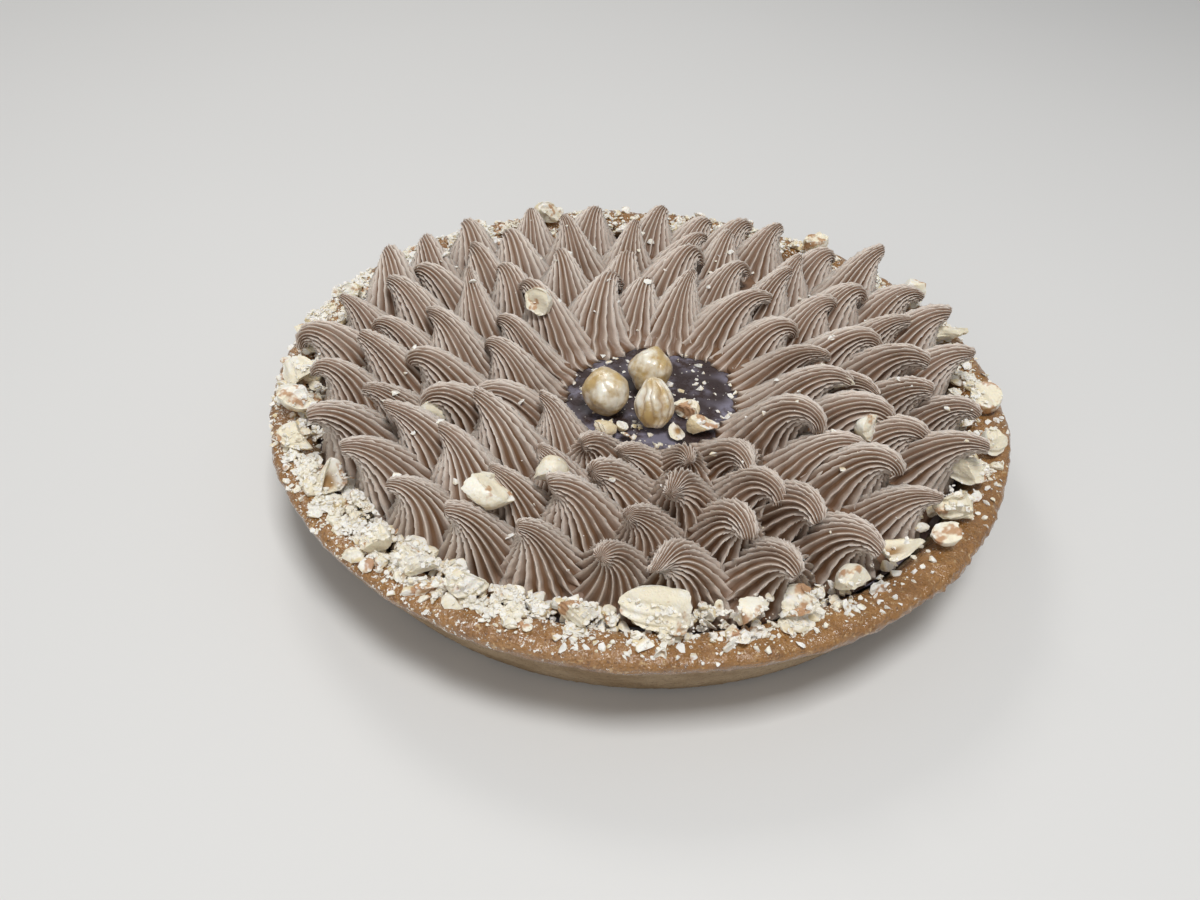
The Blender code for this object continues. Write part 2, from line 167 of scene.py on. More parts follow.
def grain(tree, per_metre):
    """The crumb grain group, placed in a material. Gives its height and its pits."""
    made = add_node(tree, "ShaderNodeGroup", node_tree=GRAIN)
    made.inputs[0].default_value = per_metre
    return made.outputs[0], made.outputs[1]


GRAIN = crumb_grain()


def crust_look():
    """Sandy tan pastry that turns to golden egg glaze towards the rim."""
    look, tree, shader, place = new_look("baked_pastry", 0.8, 0.35)
    height = add_node(tree, "ShaderNodeSeparateXYZ", {0: place}).outputs[2]
    broad = noise_node(tree, place, 55, 3)
    streaks = noise_node(tree, place, 190, 4, 0.6)
    edge = math_node(tree, "ADD", height, math_node(tree, "MULTIPLY", streaks, 3.5 * MM))
    glazed = spread(tree, edge, *GLAZE_EDGE)
    wall = blend(tree, spread(tree, broad, 0.38, 0.62), WALL_TAN, WALL_PALE)
    grains, pits = grain(tree, 1400)
    # The pits, which the bump also sinks, are darkened towards brown: painted shade in the pits.
    wall = blend(tree, math_node(tree, "MULTIPLY", pits, 0.7), wall, PIT_SHADE_BROWN)
    flecks = noise_node(tree, place, 620, 3, 0.6)
    wall = blend(tree, spread(tree, flecks, 0.52, 0.68, 0, 0.6), wall, SPECK_BROWN)
    gold = blend(tree, spread(tree, streaks, 0.38, 0.66), GLAZE_GOLD, GLAZE_BROWN)
    gold = blend(tree, spread(tree, flecks, 0.6, 0.72, 0, 0.75), gold, GLAZE_DARK)
    gold = blend(tree, spread(tree, flecks, 0.42, 0.3, 0, 0.6), gold, GLAZE_PALE)
    colour = blend(tree, glazed, wall, gold)
    facing = add_node(tree, "ShaderNodeVectorMath", {0: place, 1: DUSTY_SIDE},
                      operation="DOT_PRODUCT")
    strewn = spread(tree, facing.outputs[1], 0.1, 0.8, 0.63, 0.565)
    level = add_node(tree, "ShaderNodeVectorMath", {0: place, 1: (1, 1, 0)}, operation="MULTIPLY")
    outward = add_node(tree, "ShaderNodeVectorMath", {0: level.outputs[0]}, operation="LENGTH")
    thinner = spread(tree, facing.outputs[1], 0.66, 0.95, 0.07, 0.01)
    outer = spread(tree, outward.outputs[1], *DUSTY_BAND)
    strewn = math_node(tree, "ADD", strewn, math_node(tree, "MULTIPLY", outer, thinner))
    specks = math_node(tree, "SUBTRACT", noise_node(tree, place, 900, 4, 0.7), strewn)
    dust = math_node(tree, "MULTIPLY", spread(tree, specks, 0.0, 0.03), glazed)
    colour = blend(tree, dust, colour, NUT_DUST)
    tree.links.new(colour, shader.inputs["Base Color"])
    gloss = spread(tree, broad, 0.35, 0.6, 0.5, 0.22)
    rough = add_node(tree, "ShaderNodeMix", {0: glazed, 2: 0.85, 3: gloss}).outputs[0]
    tree.links.new(rough, shader.inputs["Roughness"])
    bare = math_node(tree, "SUBTRACT", glazed, dust)
    tree.links.new(bare, shader.inputs["Coat Weight"])
    shader.inputs["Coat Roughness"].default_value = 0.08
    swell = math_node(tree, "ADD", grains, math_node(tree, "MULTIPLY", streaks, 0.8))
    raise_surface(tree, shader, swell, 0.5 * MM)
    raise_surface(tree, shader, noise_node(tree, place, 800, 3, 0.5), 0.6 * MM, "Coat Normal")
    return look


def dress(name, mesh, look, slot, *nodes):
    """Links a finished mesh as a piece of the tart, in place of the solids it stands for."""
    piece = bpy.data.objects.new(name, mesh)
    bpy.context.scene.collection.objects.link(piece)
    mesh.materials.clear()
    mesh.materials.append(look)
    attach(piece, "root")
    if nodes:
        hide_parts(*nodes)
    return piece


def smooth_mesh(name, bm):
    """A smoothly shaded mesh from a bmesh, which is freed."""
    mesh = bpy.data.meshes.new(name)
    bm.to_mesh(mesh)
    bm.free()
    mesh.shade_smooth()
    return mesh


def crag(angle):
    """The rim's slow unevenness, from -1 to 1, at an angle in radians."""
    waves = ((3, 0.4, 0.32), (7, 1.9, 0.26), (13, 4.1, 0.24), (23, 0.7, 0.18))
    return sum(share * math.sin(turns * angle + phase) for turns, phase, share in waves)


def ease(value, low, high):
    """0 below low, 1 above high, and smooth between."""
    share = min(max((value - low) / (high - low), 0.0), 1.0)
    return share * share * (3 - 2 * share)


def crust_relief(point):
    """How far the baked surface stands out at a point: crags on the rim, grain on the wall, and
    a ragged outer edge at the front right."""
    angle = math.atan2(point.y, point.x)
    upper = ease(point.z, 21 * MM, 28 * MM)
    outer = ease(math.hypot(point.x, point.y), 108 * MM, 114 * MM)
    relief = crag(angle) * CRAG_DEPTH * upper
    for per_metre, on_wall, on_rim in ROUGHNESS:
        depth = on_wall + (on_rim - on_wall) * upper
        relief += noise.noise(point * per_metre) * depth * MM
    ragged = math.exp(-((math.degrees(angle) - RAGGED_AT) / 16) ** 2) * upper * outer
    relief += ragged * max(noise.noise(point * 650) + 0.15, 0) * 1.1 * MM
    return relief


def crust_mesh():
    """The shell, spun from its outline, then roughened."""
    bm = bmesh.new()
    outline = [bm.verts.new((radius * MM, 0, height * MM))
               for radius, height in BASE_LINE + WALL_LINE + FLOOR_LINE]
    lines = [bm.edges.new(pair) for pair in zip(outline, outline[1:])]
    wall = lines[len(BASE_LINE) - 1:len(BASE_LINE) + len(WALL_LINE) - 1]
    bmesh.ops.subdivide_edges(bm, edges=wall, cuts=3)
    inner = [vert for vert in bm.verts if vert.co.x > 99 * MM and vert.co.z > 0.5 * MM]
    bmesh.ops.smooth_vert(bm, verts=inner, factor=0.5,
                          use_axis_x=True, use_axis_y=True, use_axis_z=True)
    bmesh.ops.spin(bm, geom=bm.verts[:] + bm.edges[:], cent=(0, 0, 0), axis=(0, 0, 1),
                   angle=math.tau, steps=CRUST_TURNS, use_merge=True, use_duplicate=False)
    bmesh.ops.remove_doubles(bm, verts=bm.verts, dist=0.01 * MM)
    bmesh.ops.recalc_face_normals(bm, faces=bm.faces)
    bm.normal_update()
    for vert in bm.verts:
        if vert.co.z > 0.6 * MM and vert.co.xy.length > 99 * MM:
            vert.co += vert.normal * crust_relief(vert.co)
    return smooth_mesh("crust_dressed", bm)


crust = dress("crust_dressed", crust_mesh(), crust_look(), "baked_crust", "crust")


# Filling. Dark chocolate, poured warm and set level inside the shell. It shows only in the open
# middle, where it bloomed thinly and smears of nut dust lie on it; their bluish tint is a painted
# sheen of reflected sky.

CHOCOLATE = (0.03, 0.021, 0.025, 1)
CHOCOLATE_WARM = (0.055, 0.03, 0.022, 1)
BLOOM_AND_SKY_SHEEN = (0.21, 0.195, 0.25, 1)
FILLING_LEVEL = 24.5 * MM


def chocolate_look():
    """Set chocolate: satin, smeared pale where it bloomed, with a painted bluish sheen of reflected
    sky on the smears, slightly rippled.
    """
    look, tree, shader, place = new_look("set_chocolate", 0.35, 0.5)
    smears = noise_node(tree, place, 130, 5, 0.65)
    cloud = noise_node(tree, place, 60, 2)
    # The smears are partly bloomed chocolate and nut dust, and partly a painted bluish sheen of
    # reflected sky.
    smeared = spread(tree, smears, 0.42, 0.62)
    bloom_and_sheen = math_node(tree, "MULTIPLY", smeared, spread(tree, cloud, 0.32, 0.55))
    dark = blend(tree, cloud, CHOCOLATE, CHOCOLATE_WARM)
    tree.links.new(blend(tree, bloom_and_sheen, dark, BLOOM_AND_SKY_SHEEN), shader.inputs["Base Color"])
    tree.links.new(spread(tree, smears, 0.3, 0.7, 0.2, 0.45), shader.inputs["Roughness"])
    raise_surface(tree, shader, smears, 0.35 * MM)
    return look


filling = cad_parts["filling"]
filling.data.materials.clear()
filling.data.materials.append(chocolate_look())


# Cream. Whipped hazelnut and milk chocolate cream, piped through a fine star nozzle in four rows.
# Each shell is a ridged cone that leans outwards and ends in a thin hook where the bag came away.

# Each row: its radius, its share of the well's offset, a shell's half length, half width and
# height, in mm, and the angles in degrees at which its shells stand.
CREAM_ROWS = (
    (39.3, 1.0, 14.2, 13.8, 29,
     (16, 38, 60, 80, 99, 120, 142, 162, 184, 207, 228, 247, 264, 281, 301, 328, 352)),
    (56, 0.6, 16.4, 14.8, 29,
     (14, 31, 48, 66, 84, 100, 120, 140, 159, 177, 195, 209, 227, 246, 262, 279, 298, 319, 338,
      357)),
    (71, 0.25, 16.4, 15.0, 29,
     (4, 17, 30, 47, 68, 80, 95, 110, 127, 138, 152, 167, 179, 190, 206, 218, 231, 244, 258,
      271, 286, 302, 320, 336, 351)),
    (87, 0.0, 15.0, 15.4, 28,
     (1, 14, 26, 35, 46, 60, 70, 78, 88, 104, 118, 132, 147, 160, 171, 182, 195, 209, 221,
      231, 243, 254, 266, 277, 290, 303, 318, 334, 346)),
)
WELL_CENTRE = np.array((4.5 * MM, -6.3 * MM, 0))
FRONT_ANGLE = 256
FRONT_SHORTENING = (0.46, 0.3, 0.2, 0.2)
SIDE_SWING = 0.25
RIDGES = 20
RIDGE_PLACES = (0.0, 0.13, 0.36, 0.64, 0.87)
RIDGE_GROOVE = (0.0, 0.62, 1.0, 1.0, 0.62)
RIDGE_POINTS = len(RIDGE_PLACES)
SHELL_STEPS = 30
RIDGE_DEPTH = 0.28
BED_SEGMENTS = 240
BED_RINGS = 49
# The valley colour is dark with painted shade, and the crest colour is light with a painted
# highlight.
CREAM_VALLEY_SHADE = (0.165, 0.084, 0.041, 1)
CREAM_CREST_HIGHLIGHT = (0.98, 0.87, 0.765, 1)
CREAM_CLOUD = (0.48, 0.35, 0.27, 1)
CREAM_SPECK = (0.8, 0.72, 0.65, 1)
BEND_STEPS = 60
TIP_START = 0.965
FLOOR_RADIUS = 92 * MM
WALL_LEAN = 11.5 * MM
FLOOR_HEIGHT = 6 * MM
WALL_HEIGHT = 21.5 * MM
BED_LIFT = 0.15 * MM


def cream_look():
    """Soft satin cream, rougher along the crests where it dried, lighter along them with a painted
    highlight and dark in the valleys with painted shade.
    """
    look, tree, shader, place = new_look("piped_cream", 0.5, 0.4)
    crest = add_node(tree, "ShaderNodeAttribute", attribute_name="crest").outputs["Fac"]
    along = add_node(tree, "ShaderNodeAttribute", attribute_name="along").outputs["Fac"]
    cloud = noise_node(tree, place, 90, 2)
    specks = noise_node(tree, place, 1500, 3, 0.7)
    # One mask for the crests, strongest towards the tips: it paints the highlight on the crests and
    # leaves painted shade in the valleys, and it also roughens the dried crests. The bed has no
    # crest values, so it takes the shaded valley colour all over.
    lit_and_dry = math_node(tree, "MULTIPLY", crest, spread(tree, along, 0.0, 0.7, 0.7, 1.0))
    colour = blend(tree, lit_and_dry, CREAM_VALLEY_SHADE, CREAM_CREST_HIGHLIGHT)
    colour = blend(tree, spread(tree, cloud, 0.35, 0.65, 0, 0.2), colour, CREAM_CLOUD)
    pale = math_node(tree, "MULTIPLY", spread(tree, specks, 0.56, 0.66), lit_and_dry)
    colour = blend(tree, math_node(tree, "MULTIPLY", pale, 0.6), colour, CREAM_SPECK)
    tree.links.new(colour, shader.inputs["Base Color"])
    tree.links.new(spread(tree, lit_and_dry, 0.0, 1.0, 0.42, 0.65), shader.inputs["Roughness"])
    rough = math_node(tree, "MULTIPLY", specks, spread(tree, lit_and_dry, 0.0, 1.0, 0.15, 1.0))
    raise_surface(tree, shader, rough, 0.35 * MM)
    shader.inputs["Subsurface Weight"].default_value = 0.08
    shader.inputs["Subsurface Radius"].default_value = (1.0, 0.6, 0.4)
    shader.inputs["Subsurface Scale"].default_value = 1.2 * MM
    return look


def shell_tube():
    """A plain upright tube of many rings: the stuff that every shell is shaped from."""
    bm = bmesh.new()
    bmesh.ops.create_cone(bm, cap_ends=True, cap_tris=False, segments=RIDGES * RIDGE_POINTS,
                          radius1=1, radius2=1, depth=1)
    rising = [edge for edge in bm.edges if abs(edge.verts[0].co.z - edge.verts[1].co.z) > 0.5]
    bmesh.ops.subdivide_edges(bm, edges=rising, cuts=SHELL_STEPS - 1, use_grid_fill=True)
    bmesh.ops.recalc_face_normals(bm, faces=bm.faces)
    return smooth_mesh("shell_tube", bm)


def shell_traits(rng, row, degrees):
    """How one piped shell differs from its neighbours. Angles are in radians."""
    front = max(0.0, math.cos(math.radians(degrees - FRONT_ANGLE))) ** 4
    back = max(0.0, math.sin(math.radians(degrees))) ** 2
    return {
        "size": rng.uniform(0.9, 1.08),
        "turn": math.radians(rng.uniform(-30, 6)),
        "lean": math.radians(rng.uniform(20, 36) * (1 - 0.7 * front)),
        "hook": math.radians(rng.uniform(75, 215) * (1 - 0.4 * front)),
        "curl": rng.uniform(2.6, 4.5),
        "twist": rng.uniform(-0.35, 0.35),
        "sway": rng.uniform(-1.3, 0.6),
        "sink": rng.uniform(-1.5, 1.5),
        "tip": rng.uniform(0.11, 0.17),
        "length": rng.uniform(0.9, 1.06) * (1 - FRONT_SHORTENING[row] * front - 0.2 * back),
    }


def tail_heading(degrees, turn):
    """Which way a shell's tail points: outwards, but swung to the sides at the front."""
    angle = math.radians(degrees)
    forward = math.sin(angle)
    return math.atan2(forward * (SIDE_SWING if forward < 0 else 1), math.cos(angle)) + turn


def kept_inside(points):
    """The points, kept above the filling and drawn in clear of the crust's inner wall."""
    height = np.maximum(points[:, 2], FILLING_LEVEL + BED_LIFT)
    share = np.clip((height - FLOOR_HEIGHT) / WALL_HEIGHT, 0, 1)
    wall = FLOOR_RADIUS + WALL_LEAN * share - 0.8 * MM
    limit = np.where(height < RIM_HEIGHT + MM, wall, RIM_RADIUS)
    draw = np.minimum(1, limit / np.hypot(points[:, 0], points[:, 1]))
    return np.stack((points[:, 0] * draw, points[:, 1] * draw, height), axis=1)


def shell_points(tube, foot, heading, half_length, half_width, length, traits, seed):
    """The tube's points, moved into the form of one ridged, leaning, hooked shell."""
    along = 1 - (0.5 - tube[:, 2]) ** 1.25
    around = np.arctan2(tube[:, 1], tube[:, 0])
    turns = around / math.tau
    number = np.round(turns * RIDGES * RIDGE_POINTS).astype(int) % (RIDGES * RIDGE_POINTS)
    corner = number % RIDGE_POINTS
    around += (np.array(RIDGE_PLACES)[corner] - corner / RIDGE_POINTS) * math.tau / RIDGES
    steps = (np.arange(BEND_STEPS) + 0.5) / BEND_STEPS
    bend = traits["lean"] + (traits["hook"] - traits["lean"]) * steps ** traits["curl"]
    marks = np.linspace(0, 1, BEND_STEPS + 1)

    def grown(rates):
        """How far the shell has come along its bend, from how fast it goes at each step."""
        so_far = np.concatenate(([0], np.cumsum(rates)))
        return np.interp(along, marks, so_far) * length / BEND_STEPS

    reach = grown(np.sin(bend))
    rise = grown(np.cos(bend))
    shift = grown(np.sin(traits["sway"] * steps ** 2))
    tilt = traits["lean"] + (traits["hook"] - traits["lean"]) * along ** traits["curl"]
    tilt = tilt * np.clip((along - 0.3) / 0.55, 0, 1) ** 1.3

    phase = np.random.default_rng(seed).uniform(0, math.tau, 9)
    angle = around + traits["twist"] * along
    angle = angle + 0.06 * np.sin(2 * around + phase[0] + 2 * along)
    wavy = 0.05 * np.exp(-along / 0.25) * (phase[2] > 2)
    angle += wavy * np.sin(34 * along + 2 * around + phase[1])
    groove = np.array(RIDGE_GROOVE)[corner]
    depth = RIDGE_DEPTH * (1 - 0.3 * along) * (1 + 0.3 * np.sin(5 * around + phase[3]))
    depth *= 0.3 + 0.7 * np.clip(along / 0.12, 0, 1)
    body = traits["tip"] + (1 - traits["tip"]) * (1 - along) ** 1.4 * (1 + 0.2 * along)
    uneven = 0.05 * np.sin(2 * around + phase[4] + 3 * along)
    body *= 1 + uneven + 0.03 * np.sin(3 * around + phase[5])
    body *= 1 + 0.05 * np.exp(-along / 0.05)
    past = np.clip((along - TIP_START) / (1 - TIP_START), 0, 1)
    rounded = 0.1 + 0.9 * np.sqrt(1 - past ** 2)
    on_crest = (groove < 0.01) * (along > 0.35)
    ragged = on_crest * np.sin(70 * along + number * 1.7 + phase[6])
    ragged = ragged * np.sin(23 * along + number + phase[7]) * (0.03 + 0.15 * along ** 2)
    girth = body * (1 - depth * groove) * rounded * (1 + ragged)

    out = np.cos(angle) * half_length * girth
    side = np.sin(angle) * half_width * girth + shift
    ahead = reach + out * np.cos(tilt)
    height = rise - out * np.sin(tilt)
    cosine = math.cos(heading)
    sine = math.sin(heading)
    points = np.stack((foot[0] + ahead * cosine - side * sine,
                       foot[1] + ahead * sine + side * cosine,
                       foot[2] + height), axis=1)
    return kept_inside(points), along, 1 - groove


def paint(mesh, name, parts):
    """Keeps a value for each point of the mesh, for its material to read."""
    values = mesh.attributes.new(name, "FLOAT", "POINT").data
    values.foreach_set("value", np.concatenate(parts))


def cream_row(row, rng, tube_mesh, look):
    """One row of shells, side by side, as one piece."""
    row_radius, offset, half_length, half_width, length, angles = CREAM_ROWS[row]
    tube = np.empty(len(tube_mesh.vertices) * 3)
    tube_mesh.vertices.foreach_get("co", tube)
    tube = tube.reshape(-1, 3)
    bm = bmesh.new()
    crests = []
    alongs = []
    for number, degrees in enumerate(angles):
        traits = shell_traits(rng, row, degrees)
        angle = math.radians(degrees)
        radius = (row_radius + traits["sink"]) * MM
        foot = np.array((radius * math.cos(angle), radius * math.sin(angle), FILLING_LEVEL))
        foot = WELL_CENTRE * offset + foot
        size = traits["size"] * MM
        heading = tail_heading(degrees, traits["turn"])
        points, along, crest = shell_points(tube, foot, heading, half_length * size,
                                            half_width * size, length * size * traits["length"],
                                            traits, row * 100 + number)
        shell = tube_mesh.copy()
        shell.vertices.foreach_set("co", points.ravel())
        bm.from_mesh(shell)
        bpy.data.meshes.remove(shell)
        crests.append(crest)
        alongs.append(along)
    mesh = smooth_mesh(f"cream_row_{row + 1}", bm)
    paint(mesh, "crest", crests)
    paint(mesh, "along", alongs)
    return dress(f"cream_row_{row + 1}", mesh, look, "hazelnut_cream", "cream")


def cream_bed(look):
    """The low uneven ring of cream in which the shells' feet run together."""
    bm = bmesh.new()
    ring = bmesh.ops.create_circle(bm, cap_ends=False, segments=BED_SEGMENTS, radius=1)["verts"]
    shares = [step / BED_RINGS for step in range(BED_RINGS + 1)] + [0]
    for share in shares:
        centre = WELL_CENTRE * (1 - share)
        rise = np.interp(share, (0, 0.02, 0.08, 0.86, 1), (0, 1.3, 3.2, 3.2, 0)) * MM
        for vert in ring:
            angle = math.atan2(vert.co.y, vert.co.x)
            wander = noise.noise(Vector((math.cos(angle) * 4, math.sin(angle) * 4, 0.3)))
            radius = (29.6 + 69.9 * share + 2.6 * wander * (1 - share) ** 8) * MM
            vert.co = (centre[0] + radius * math.cos(angle),
                       centre[1] + radius * math.sin(angle), FILLING_LEVEL + BED_LIFT + rise)
            vert.co.z += noise.noise(vert.co * 220) * 0.25 * rise
        if share is not shares[-1]:
            edges = [edge for edge in bm.edges if edge.is_boundary or edge.is_wire]
            edges = [edge for edge in edges if set(edge.verts) <= set(ring)]
            grown = bmesh.ops.extrude_edge_only(bm, edges=edges)["geom"]
            ring = [item for item in grown if isinstance(item, bmesh.types.BMVert)]
            for vert in ring:
                vert.co = (vert.co - Vector(centre)).normalized()
    bmesh.ops.remove_doubles(bm, verts=bm.verts, dist=0.01 * MM)
    bmesh.ops.recalc_face_normals(bm, faces=bm.faces)
    mesh = smooth_mesh("cream_bed", bm)
    return dress("cream_bed", mesh, look, "hazelnut_cream", "cream")


piped = cream_look()
tube_mesh = shell_tube()
cream_rng = random.Random(7)
cream_pieces = [cream_row(row, cream_rng, tube_mesh, piped) for row in range(4)]
cream_pieces.append(cream_bed(piped))
bpy.data.meshes.remove(tube_mesh)


# Whole hazelnuts. Three peeled, lightly roasted nuts lie in the open middle: smooth ivory eggs with
# a blunt point, one of them strongly furrowed along its length.

# Each nut: its place, width and length, its turn and tip in degrees, and how deep its furrows are.
WHOLE_NUTS = {
    "hazelnut_left": ((-10.6 * MM, -14.0 * MM), 14.4 * MM, 15.2 * MM, 110, 62, 0.25),
    "hazelnut_back": ((3.2 * MM, -1.2 * MM), 13.6 * MM, 14.6 * MM, 60, 40, 0.3),
    "hazelnut_front": ((4.2 * MM, -19.6 * MM), 11.8 * MM, 15.4 * MM, 96, 38, 1.0),
}
NUT_GOLD = (0.56, 0.395, 0.165, 1)
NUT_IVORY = (0.74, 0.61, 0.38, 1)
# The white stands both for pale patches of flesh and for painted highlight.
NUT_WHITE_AND_HIGHLIGHT = (0.9, 0.86, 0.74, 1)
NUT_CREAM = (0.86, 0.78, 0.6, 1)
NUT_TAN = (0.4, 0.235, 0.095, 1)
NUT_TOAST = (0.46, 0.22, 0.085, 1)


def nut_flesh():
    """Node group: golden skin with white patches, partly painted highlight, and painted light on its
    top; cream and chalky broken flesh, toasted spots.
    """
    group = bpy.data.node_groups.new("nut_flesh", "ShaderNodeTree")
    group.interface.new_socket("Skin colour", in_out="INPUT", socket_type="NodeSocketColor")
    group.interface.new_socket("Chalk", in_out="INPUT", socket_type="NodeSocketFloat")
    group.interface.new_socket("Toast", in_out="INPUT", socket_type="NodeSocketFloat")
    group.interface.new_socket("Colour", in_out="OUTPUT", socket_type="NodeSocketColor")
    group.interface.new_socket("Skin", in_out="OUTPUT", socket_type="NodeSocketFloat")
    enter = group.nodes.new("NodeGroupInput").outputs
    leave = group.nodes.new("NodeGroupOutput").inputs
    place = add_node(group, "ShaderNodeTexCoord").outputs["Object"]
    skin = add_node(group, "ShaderNodeAttribute", attribute_name="skin").outputs["Fac"]
    furrow = add_node(group, "ShaderNodeAttribute", attribute_name="furrow").outputs["Fac"]
    cloud = noise_node(group, place, 120, 5, 0.62)
    patches = noise_node(group, place, 150, 3, 0.6)
    height = add_node(group, "ShaderNodeSeparateXYZ", {0: place}).outputs[2]
    # Lighter towards the top, from 25 to 38 mm up: painted light on the tops. The white patches from
    # the cloud are partly the nut's own colour and partly painted highlight.
    white_and_lit_top = math_node(group, "ADD", cloud, spread(group, height, 25 * MM, 38 * MM, -0.1, 0.06))
    outside = blend(group, spread(group, white_and_lit_top, 0.4, 0.66), enter["Skin colour"], NUT_WHITE_AND_HIGHLIGHT)
    creamy = math_node(group, "ADD", enter["Chalk"], 0.22)
    inside = blend(group, spread(group, cloud, enter["Chalk"], creamy), NUT_DUST, NUT_CREAM)
    colour = blend(group, skin, inside, outside)
    brown = math_node(group, "ADD", enter["Toast"], 0.08)
    toast = spread(group, patches, enter["Toast"], brown, 0, 0.85)
    colour = blend(group, toast, colour, NUT_TOAST)
    group.links.new(blend(group, furrow, colour, NUT_TAN), leave["Colour"])
    group.links.new(skin, leave["Skin"])
    return group


NUT_FLESH = nut_flesh()


def nut_look(name, skin_colour, roughness, per_metre, depth, coat, toasted, chalky=0.5):
    """Hazelnut, smooth where its skin is left and rough where it broke."""
    look, tree, shader, _ = new_look(name, roughness, 0.45)
    facts = {"Skin colour": skin_colour, "Chalk": chalky, "Toast": toasted}
    flesh = add_node(tree, "ShaderNodeGroup", facts, node_tree=NUT_FLESH).outputs
    grains, _ = grain(tree, per_metre)
    tree.links.new(flesh["Colour"], shader.inputs["Base Color"])
    tree.links.new(spread(tree, flesh["Skin"], 0.0, 1.0, 0.6, roughness), shader.inputs["Roughness"])
    shader.inputs["Coat Weight"].default_value = coat
    shader.inputs["Coat Roughness"].default_value = 0.22
    shader.inputs["Subsurface Weight"].default_value = 0.15
    shader.inputs["Subsurface Radius"].default_value = (1.0, 0.8, 0.5)
    shader.inputs["Subsurface Scale"].default_value = 1.2 * MM
    raise_surface(tree, shader, grains, depth)
    return look


def whole_nut(name, look, place, width, length, turn, tip, furrows):
    """One whole nut, in the place of its solid."""
    bm = bmesh.new()
    bmesh.ops.create_uvsphere(bm, u_segments=120, v_segments=72, radius=0.5)
    bmesh.ops.remove_doubles(bm, verts=bm.verts, dist=1e-5)
    furrow_layer = bm.verts.layers.float.new("furrow")
    skin_layer = bm.verts.layers.float.new("skin")
    seed = Vector((place[0] * 900, place[1] * 900, 3))
    for vert in bm.verts:
        unit = vert.co * 2
        turns = math.atan2(unit.y, unit.x)
        wander = noise.noise(unit * 1.6 + seed) * 0.9
        wave = abs(math.sin(5.5 * turns + wander * 2.4)) ** 0.55
        cut = (1 - wave) * (1 - abs(unit.z) ** 3)
        pointed = 1 - 0.22 * max(unit.z, 0) ** 2
        swell = 1 + 0.14 * noise.noise(unit * 1.4 + seed) - 0.1 * furrows * cut
        swell += 0.02 * noise.noise(unit * 4 + seed)
        vert.co = Vector((vert.co.x * width * pointed, vert.co.y * width * pointed,
                          vert.co.z * length)) * swell
        vert[furrow_layer] = min(cut * (0.15 + 0.85 * furrows), 1) * 0.9
        vert[skin_layer] = 1
    lay = Matrix.Rotation(math.radians(turn), 4, "Z") @ Matrix.Rotation(math.radians(tip), 4, "Y")
    bmesh.ops.transform(bm, matrix=lay, verts=bm.verts)
    lowest = min(vert.co.z for vert in bm.verts)
    bmesh.ops.translate(bm, vec=(*place, FILLING_LEVEL + 0.1 * MM - lowest), verts=bm.verts)
    return dress(f"{name}_dressed", smooth_mesh(name, bm), look, "hazelnut", name)


peeled = nut_look("peeled_nut", NUT_GOLD, 0.3, 700, 0.08 * MM, 0.5, 0.7)
for nut_name, facts in WHOLE_NUTS.items():
    whole_nut(nut_name, peeled, *facts)


# Chopped hazelnuts. Halves and broken pieces of roasted nut, each with some of the round outer skin
# and some rough white broken faces, on the rim, on the cream and in the middle.

NUT_PIECES = [name for name in sorted(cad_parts) if name.startswith("nut_piece_")]


def egg_mesh(fineness):
    """A round egg of that fineness, the stuff that every bit of nut is broken from."""
    bm = bmesh.new()
    bmesh.ops.create_icosphere(bm, subdivisions=fineness, radius=0.5)
    mesh = bpy.data.meshes.new("egg")
    bm.to_mesh(mesh)
    bm.free()
    return mesh


def coordinates(mesh):
    """The mesh's points as rows of three numbers."""
    points = np.empty(len(mesh.vertices) * 3, np.float32)
    mesh.vertices.foreach_get("co", points)
    return points.reshape(-1, 3)


def broken(egg, draw, splits, lumps):
    """The egg's points pressed flat where it split, in a box of side 1, and which of them have
    skin or lie in the hollow between a nut's two halves."""
    points = egg * (1 + lumps * draw.uniform(-1, 1, (len(egg), 1)))
    skin = np.ones(len(egg))
    hollow = np.zeros(len(egg))
    for number in range(splits):
        way = draw.normal(size=3) + (number == 0) * np.array((0.0, -0.9, 1.1))
        way /= np.linalg.norm(way)
        place = draw.uniform(0.0, 0.22)
        waves = np.sin(points @ draw.normal(0, 7, 3) + 5)
        waves = waves + np.sin(points @ draw.normal(0, 13, 3))
        beyond = np.maximum(points @ way - place - 0.018 * waves, 0)
        points = points - np.outer(beyond * 0.94, way)
        skin[beyond > 0] = 0
        if number == 0 and splits > 1 and place < 0.04:
            off_middle = np.linalg.norm(points - way * place, axis=1)
            dent = np.exp(-(off_middle / 0.2) ** 2) * (beyond > 0)
            points = points - np.outer(0.12 * dent, way)
            hollow = np.maximum(hollow, np.clip(dent * 1.6 - 0.15, 0, 1))
    low = points.min(axis=0)
    high = points.max(axis=0)
    return (points - (low + high) / 2) / (high - low), skin, hollow


